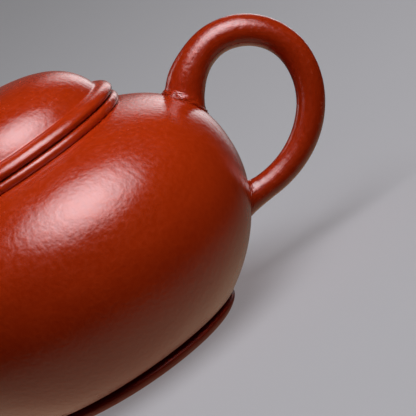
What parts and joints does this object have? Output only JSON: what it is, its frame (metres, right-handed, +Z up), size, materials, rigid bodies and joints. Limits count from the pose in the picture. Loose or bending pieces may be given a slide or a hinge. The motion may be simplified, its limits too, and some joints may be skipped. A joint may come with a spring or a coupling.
{
  "type": "clay teapot",
  "caption": "Round clay teapot with ear handle, single-bend spout, foot ring and a domed lid that lifts out.",
  "frame": {"origin": "on the pot's turning axis at the foot ring's resting face; handle and spout reach equally far, so it is the bottom centre of the box", "axes": "+Z up along the turning axis, +X towards the handle, -X towards the spout, XZ is the mirror plane"},
  "size_m": [0.1585, 0.1, 0.0861],
  "materials": {
    "red_clay": "burnished satin red clay, fine grain",
    "unburnished_clay": "matt red clay as fired"
  },
  "bodies": {
    "pot": {"body_wall": "red_clay", "shoulder": "red_clay", "base_disc": "red_clay", "foot_ring": "red_clay", "mouth_ring": "red_clay", "handle": "red_clay", "spout": "red_clay", "strainer": "unburnished_clay"},
    "lid": {"lid_bead": "red_clay", "lid_dome": "red_clay", "lid_flange": "unburnished_clay", "knob": "red_clay"}
  },
  "joints": [
    {"name": "lid_lift", "type": "slide", "parent": "pot", "child": "lid", "axis": [0, 0, 1], "range_m": [0, 0.06]}
  ]
}
